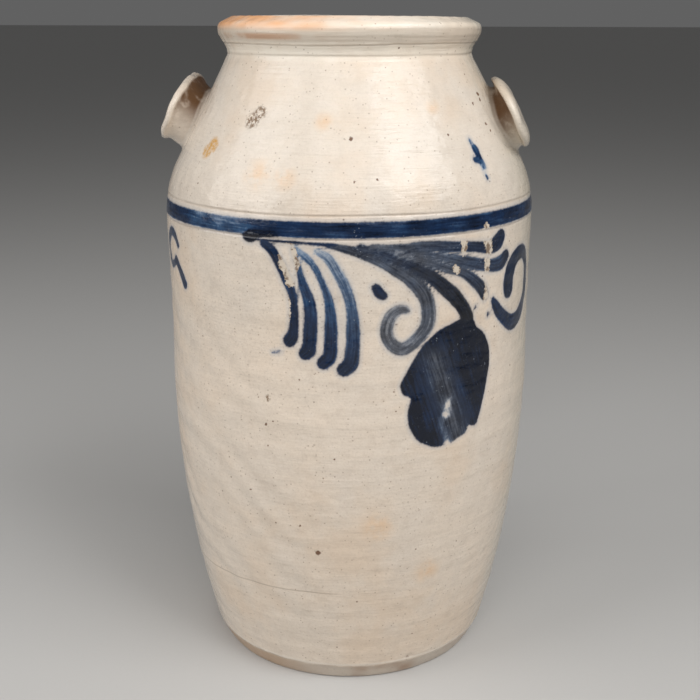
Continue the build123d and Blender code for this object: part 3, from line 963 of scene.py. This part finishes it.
def make_salt_glaze():
    s = Shader("salt_glaze_stoneware")
    x, y, z = s.add("SeparateXYZ", {0: s.coords})
    azimuth = s.math("ARCTAN2", x, s.times(y, -1.0))
    from_front = s.minus(azimuth, FRONT)

    # Where the salt vapour and the flame reached the clay
    cloud = s.noise(8, 2.0, 0.5)
    patch = s.noise(26, 4.0, 0.6)
    blotch = s.noise(85, 3.0, 0.65)
    streak = s.flow(10, 26, 3.0, 0.6)
    fine_streak = s.flow(16, 90, 2.0, 0.65)
    grain = s.noise(700, 3.0, 0.75)
    s.colour = s.ramp(cloud, [(0.3, (203, 193, 180)), (0.5, (212, 199, 183)), (0.7, (218, 202, 183))])
    s.tint_steps(
        (patch, 0.42, 0.70, 0.5, 218, 200, 180),
        (patch, 0.55, 0.25, 0.5, 190, 184, 176),
        (blotch, 0.52, 0.28, 0.65, 180, 165, 149),
        (blotch, 0.5, 0.75, 0.40, 230, 219, 206),
        (streak, 0.45, 0.75, 0.32, 224, 208, 188),
        (fine_streak, 0.52, 0.25, 0.45, 176, 164, 151),
        (grain, 0.52, 0.74, 0.40, 232, 222, 210),
        (grain, 0.50, 0.30, 0.55, 160, 143, 126),
        # Painted light and shade: paler on the upper wall, on the shoulder and from the neck up, paler again
        # low on the wall, and a painted shade, darker and greyer, towards the right
        (z, 0.325, 0.37, 0.45, 230, 219, 205),
        (z, 0.24, 0.31, 0.45, 226, 215, 202),
        (z, 0.425, 0.432, 0.65, 247, 240, 226),
        (z, 0.32, 0.22, 0.55, 228, 214, 198),
        (from_front, math.radians(50), math.radians(78), 0.45, 176, 170, 150),
        # Warm flashing in patches
        (s.noise(13, 4.0, 0.6), 0.45, 0.68, 0.36, 214, 189, 162))
    # Warm clouds on the shoulder and low on the wall
    blush = s.times(marks(s, s.coords, FAINT_MARKS, 1.0), s.step(blotch, 0.3, 0.65))
    s.tint(s.times(blush, 0.55), 222, 180, 134)

    # Iron specks of two sizes
    s.tint(s.times(s.speckle(s.coords, 150, (0.13, 0.05), (0.74, 0.84)), 0.8), 104, 72, 48)
    s.tint(s.times(s.speckle(s.coords, 400, (0.30, 0.08), (0.58, 0.8)), 0.5), 124, 96, 72)

    # Listed marks
    astray = s.add("TexNoise", {"Vector": s.coords, "Scale": 420})["Color"]
    astray = s.vector("SUBTRACT", astray, (0.5, 0.5, 0.5))
    wobble = s.vector("ADD", s.coords, s.vector("SCALE", astray, 0.0030))
    torn = s.step(s.noise(430, 3.0, 0.7), 0.40, 0.60)
    ochre = s.times(marks(s, wobble, ORANGE_MARKS, 0.5), s.plus(s.times(torn, 0.5), 0.4))
    s.tint(ochre, 206, 154, 72)
    s.tint(s.times(marks(s, wobble, GREY_MARKS, 0.5), torn, 0.9), 112, 84, 54)
    s.tint(s.times(marks(s, wobble, BROWN_MARKS, 0.5), 0.9), 96, 58, 30)

    # The rim: warm orange over its left half, with a brown line under the roll
    aside = s.math("ABSOLUTE", s.plus(from_front, math.radians(50)))
    rim_left = s.step(aside, math.radians(85), math.radians(20))
    rim = s.step(z, 0.4440, 0.4500)
    uneven = s.step(s.flow(2, 26, 2.0, 0.5), 0.2, 0.62)
    rim_flash = s.times(rim, rim_left, uneven)
    # A painted shade on the outer face of the roll, under its crest
    roll_shade = s.times(s.step(z, 0.4365, 0.4400), s.step(z, 0.4495, 0.4455))
    s.tint(s.times(roll_shade, 0.5), 176, 160, 143)
    s.tint(s.times(rim_flash, 0.9), 240, 168, 104)
    under_roll = s.times(s.step(z, 0.4392, 0.4412), s.step(z, 0.4452, 0.4426))
    brown_part = s.step(s.noise(45, 2.0, 0.5), 0.38, 0.6)
    under_mask = s.times(under_roll, s.step(aside, math.radians(50), math.radians(12)))
    s.tint(s.times(under_mask, brown_part, 0.6), 176, 118, 70)

    # A fine scratch sags from the front to the left, low on the wall, and on round the back
    sag = s.times(s.math("POWER", s.minus(-0.1, from_front), 2.0), -0.0065)
    off_scratch = s.math("ABSOLUTE", s.minus(z, s.plus(sag, 0.0775)))
    scratch = s.times(s.step(off_scratch, 0.0008, 0.0002), s.step(from_front, -0.04, -0.12, 0.0, 0.36))
    s.tint(scratch, 134, 116, 98)

    # The foot's chamfer is worn and grey-brown, with a painted highlight along its upper edge
    foot_edge = s.plus(z, s.times(s.noise(60, 3.0), 0.003))
    foot = s.step(foot_edge, 0.0150, 0.0128)
    s.tint(s.times(foot, 0.55), 178, 168, 156)
    # A painted highlight: a pale line along the upper edge of the chamfer
    chamfer_highlight = s.times(s.step(foot_edge, 0.0142, 0.0154), s.step(foot_edge, 0.0172, 0.0158))
    s.tint(s.times(chamfer_highlight, 0.5), 232, 224, 212)
    scorched = s.times(foot, s.step(s.noise(24, 2.0), 0.5, 0.66))
    stained = s.times(foot, s.step(from_front, -0.1, -0.6, 0.0, 0.55))
    s.tint(stained, 176, 138, 98)
    s.tint(s.times(scorched, 0.7), 150, 112, 82)

    # Cobalt under the salt glaze
    depth = s.value_of("cobalt")
    ragged = s.unevenness(600, 2.0, 0.6)
    rolling = s.unevenness(160, 2.0, 0.6)
    edge = s.plus(depth, s.plus(s.times(ragged, 0.9), rolling))
    paint = s.step(edge, -0.95, 0.65)
    run = s.times(s.value_of("cobalt_along"), 0.07)
    bristle_place = s.add("CombineXYZ", {0: s.value_of("cobalt_across"), 1: run})[0]
    bristle = s.unevenness(0.6, 2.0, at=bristle_place)
    pool = s.unevenness(75, 3.0, 0.6)
    mottle = s.unevenness(520, 3.0, 0.8)
    ink = s.value_of("cobalt_ink")
    thinness = s.step(ink, 0.95, 0.5, 0.6, 1.0)
    for part, amount in ((bristle, 0.8), (pool, 0.5), (mottle, 0.35)):
        ink = s.plus(ink, s.times(part, amount, thinness))
    ink = s.minus(ink, s.step(edge, 1.6, 0.0, 0.0, 0.16))
    ink = s.math("MAXIMUM", ink, 0.04)
    grey_share = s.plus(s.value_of("cobalt_grey"), s.times(pool, 0.6), clamp=True)
    cobalt = s.mix(grey_share, s.ramp(ink, BLUE_INK), s.ramp(ink, GREY_INK))
    jagged = s.plus(s.times(ragged, 4.6), s.times(rolling, 3.0))
    chipped = s.step(s.plus(s.value_of("flake"), jagged), -0.1, 0.5)
    crumbling = s.step(s.noise(300, 3.0, 0.6), 0.48, 0.62)
    bare = s.mix(crumbling, linear(206, 194, 178), linear(128, 110, 94))
    s.lay(s.times(chipped, s.step(depth, -1.5, 0.5)), bare)
    painted = s.times(paint, s.minus(1.0, chipped))
    # Painted glints: pale specks in clusters over the paint stand in for sparkles of light off the glossy
    # glaze
    painted_glints = s.speckle(wobble, 420, (0.26, 0.08), (0.46, 0.6))
    clustered = s.step(s.noise(62, 2.0, 0.5), 0.52, 0.66, 0.08, 0.75)
    cobalt = s.mix(s.times(painted_glints, clustered), cobalt, linear(134, 142, 152))
    s.lay(painted, cobalt)
    # A blue haze where the cobalt fumed on to the clay beside it
    haze = s.times(s.step(edge, -3.4, -0.4, 0.0, 0.26), s.minus(1.0, paint))
    s.tint(haze, 150, 162, 178)

    # Dirt in the incised lines and behind the lugs
    bare_clay = s.minus(1.0, s.times(painted, 0.85))
    dirty = s.step(s.noise(40, 3.0), 0.25, 0.6, 0.3, 1.0)
    s.tint(s.times(s.value_of("groove"), dirty, bare_clay, 0.5), 132, 110, 90)
    soil_noise = s.noise(70, 3.0, 0.6)
    soil = s.times(s.value_of("soil"), s.step(soil_noise, 0.26, 0.48, 0.4, 1.0))
    s.tint(soil, 98, 68, 40)

    # The brown slip that lines the jar
    slip_flow = s.flow(7, 30, 3.0, 0.6)
    slip = s.ramp(slip_flow, [(0.3, (74, 44, 26)), (0.55, (104, 64, 38)), (0.75, (138, 92, 56))])
    lining_edge = s.plus(s.value_of("lining"), s.times(rolling, 0.5))
    inside = s.step(lining_edge, 0.35, 0.65)
    s.lay(inside, slip)

    rough = s.step(patch, 0.3, 0.7, 0.09, 0.18)
    rough = s.plus(rough, s.step(grain, 0.5, 0.75, 0.0, 0.10))
    rough = s.plus(rough, s.times(foot, 0.22))
    rough = s.plus(rough, s.times(soil, 0.35), clamp=True)

    # Orange peel of the salt glaze, throwing lines under it, and the step at the brushwork's edge
    peel = s.noise(300, 2.0, 0.5)
    swell = s.flow(4, 34, 2.0, 0.5)
    throwing = s.flow(22, 30, 3.0, 0.55)
    grit = s.noise(1300, 2.0, 0.7)
    shown = s.minus(s.step(z, 0.335, 0.36, 0.45, 1.0), s.times(painted, 0.38))
    relief = s.minus(s.times(painted, 0.6), chipped)
    normal = s.bumps(
        (swell, 0.5, 0.0010), (s.times(throwing, shown), 0.5, 0.0007), (peel, 0.5, 0.00040),
        (grit, 0.3, 0.00010), (relief, 0.5, 0.0002))
    return s.finish(rough, normal, IOR=1.43)


def make_lid_glaze():
    """The jar's clay under a smoother, thinly coated salt glaze, flashed orange in patches."""
    s = Shader("lid_salt_glaze")
    cloud = s.noise(22, 3.0, 0.6)
    streak = s.noise(140, 3.0, 0.6, 1.0)
    grain = s.noise(900, 2.0, 0.7)
    s.colour = s.ramp(cloud, [(0.3, (170, 150, 126)), (0.5, (190, 170, 146)), (0.7, (206, 188, 164))])
    s.tint_steps(
        (streak, 0.52, 0.7, 0.4, 214, 196, 170),
        (grain, 0.45, 0.3, 0.35, 140, 120, 100),
        (s.noise(16, 2.0), 0.5, 0.7, 0.5, 196, 142, 96))
    s.tint(s.times(s.speckle(s.coords, 260, (0.2, 0.08), (0.5, 0.6)), 0.6), 88, 60, 40)
    rough = s.step(cloud, 0.3, 0.7, 0.28, 0.44)
    normal = s.bumps((s.noise(360, 2.0, 0.5), 0.5, 0.0004), (grain, 0.35, 0.00016))
    return s.finish(rough, normal, Coat_Weight=0.2, Coat_Roughness=0.2, IOR=1.5)


def make_bare_stoneware():
    """Unglazed clay of the weights, stained by brine."""
    s = Shader("bare_stoneware")
    cloud = s.noise(30, 3.0, 0.6)
    sand = s.noise(700, 3.0, 0.7)
    s.colour = s.ramp(cloud, [(0.3, (150, 128, 106)), (0.5, (172, 150, 126)), (0.7, (188, 168, 144))])
    s.tint_steps(
        (sand, 0.5, 0.3, 0.5, 116, 94, 76),
        (sand, 0.58, 0.75, 0.5, 204, 188, 166))
    grog = s.speckle(s.coords, 420, (0.3, 0.15), (0.5, 0.6))
    s.tint(s.times(grog, 0.6), 96, 70, 52)
    s.tint_steps((s.noise(18, 2.0, 0.5, 0.8), 0.5, 0.62, 0.35, 128, 104, 84))
    rough = s.step(sand, 0.3, 0.7, 0.72, 0.92)
    normal = s.bumps(
        (s.noise(240, 3.0, 0.6), 0.5, 0.0005), (sand, 0.5, 0.0003), (grog, 0.4, 0.0002))
    return s.finish(rough, normal, IOR=1.45)


# ---------------------------------------------------------------- the studio
FLOOR_HALF = 40.0
WORLD_STRENGTH = 0.12
LAMP_COLOUR = (1.0, 0.99, 0.98)
LIT_POINT = Vector((0, 0, 0.3))

# Soft boxes: azimuth from the front and elevation in degrees, distance, width and height, power
LAMPS = {
    "box_right": (49, 43, 1.5, (1.0, 0.8), 11.6),
    "box_left": (-82, 22, 1.5, (0.6, 1.1), 4.5),
    "fill_left": (-60, 26, 2.0, (0.8, 1.6), 11.5),
    "fill_above": (10, 38, 2.2, (2.4, 1.8), 27.5),
}

# The camera as it was fitted to the photo, with its distance measured from the jar's axis
CAMERA_AWAY = 0.8054
CAMERA_HEIGHT = 0.4563
CAMERA_PITCH = math.radians(16.63)
CAMERA_ROLL = math.radians(0.1)
CAMERA_LENS = 58.1
CAMERA_SHIFT = 0.0009


def make_floor():
    """A wide floor of pale paper with a trace of tooth."""
    s = Shader("studio_paper")
    tooth = s.noise(400, 2.0, 0.6)
    paper = linear(196, 195, 193)
    s.colour = s.mix(s.step(tooth, 0.3, 0.7), paper, tuple(min(1, value * 1.01) for value in paper))
    corners = [(x * FLOOR_HALF, y * FLOOR_HALF, 0) for x, y in ((-1, -1), (1, -1), (1, 1), (-1, 1))]
    floor = new_mesh("studio_floor", corners, [(0, 1, 2, 3)], smooth=False)
    floor.data.materials.append(s.finish(0.9, s.bumps((tooth, 0.05, 0.0001)), IOR=1.3))


def studio_light(name, azimuth, elevation, away, size, power):
    """A soft box, placed by its direction from the middle of the jar as the camera sees it."""
    turn = FRONT + math.radians(azimuth)
    rise = math.radians(elevation)
    out = Vector((math.sin(turn) * math.cos(rise), -math.cos(turn) * math.cos(rise), math.sin(rise)))
    place = LIT_POINT + out * away
    lamp = bpy.data.lights.new(name, "AREA")
    lamp.shape = "RECTANGLE"
    lamp.size, lamp.size_y = size
    lamp.energy = power
    lamp.color = LAMP_COLOUR
    light = bpy.data.objects.new(name, lamp)
    light.location = place
    light.rotation_euler = (LIT_POINT - place).to_track_quat("-Z", "Y").to_euler()
    bpy.context.scene.collection.objects.link(light)


def make_studio():
    make_floor()
    world = bpy.data.worlds.new("studio_world")
    bpy.context.scene.world = world
    world.use_nodes = True
    background = world.node_tree.nodes["Background"]
    background.inputs["Color"].default_value = (1.0, 1.0, 1.0, 1.0)
    background.inputs["Strength"].default_value = WORLD_STRENGTH
    for name, lamp in LAMPS.items():
        studio_light(name, *lamp)


def make_camera():
    lens_camera = bpy.data.cameras.new("camera")
    lens_camera.sensor_width = 36
    lens_camera.lens = CAMERA_LENS
    lens_camera.clip_start = 0.05
    lens_camera.shift_x = CAMERA_SHIFT
    camera = bpy.data.objects.new("camera", lens_camera)
    camera.location = (CAMERA_AWAY * math.sin(FRONT), -CAMERA_AWAY * math.cos(FRONT), CAMERA_HEIGHT)
    aim = Euler((math.pi / 2 - CAMERA_PITCH, 0, FRONT), "XYZ").to_matrix()
    camera.rotation_euler = (aim @ Matrix.Rotation(CAMERA_ROLL, 3, "Z")).to_euler("XYZ")
    bpy.context.scene.collection.objects.link(camera)
    bpy.context.scene.camera = camera


# ---------------------------------------------------------------- everything in its place
bpy.context.scene.view_settings.view_transform = "Standard"
materials = {
    "salt_glaze": make_salt_glaze(),
    "lid_glaze": make_lid_glaze(),
    "bare_stoneware": make_bare_stoneware(),
}


def set_up(piece, slot, body, node):
    piece.data.materials.clear()
    piece.data.materials.append(materials[slot])
    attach(piece, body)
    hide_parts(node)


set_up(make_jar(), "salt_glaze", "crock", "crock_body")
set_up(make_lug("lug_left", "lug_handle_left", -1), "salt_glaze", "crock", "lug_handle_left")
set_up(make_lug("lug_right", "lug_handle_right", 1), "salt_glaze", "crock", "lug_handle_right")
set_up(make_lid(), "lid_glaze", "lid", "lid")
set_up(make_knob(), "lid_glaze", "lid", "lid_knob")
for name, side in (("left", -1), ("right", 1)):
    node = "weight_" + name
    set_up(make_weight("weight_half_" + name, node, side), "bare_stoneware", node, node)
make_studio()
make_camera()
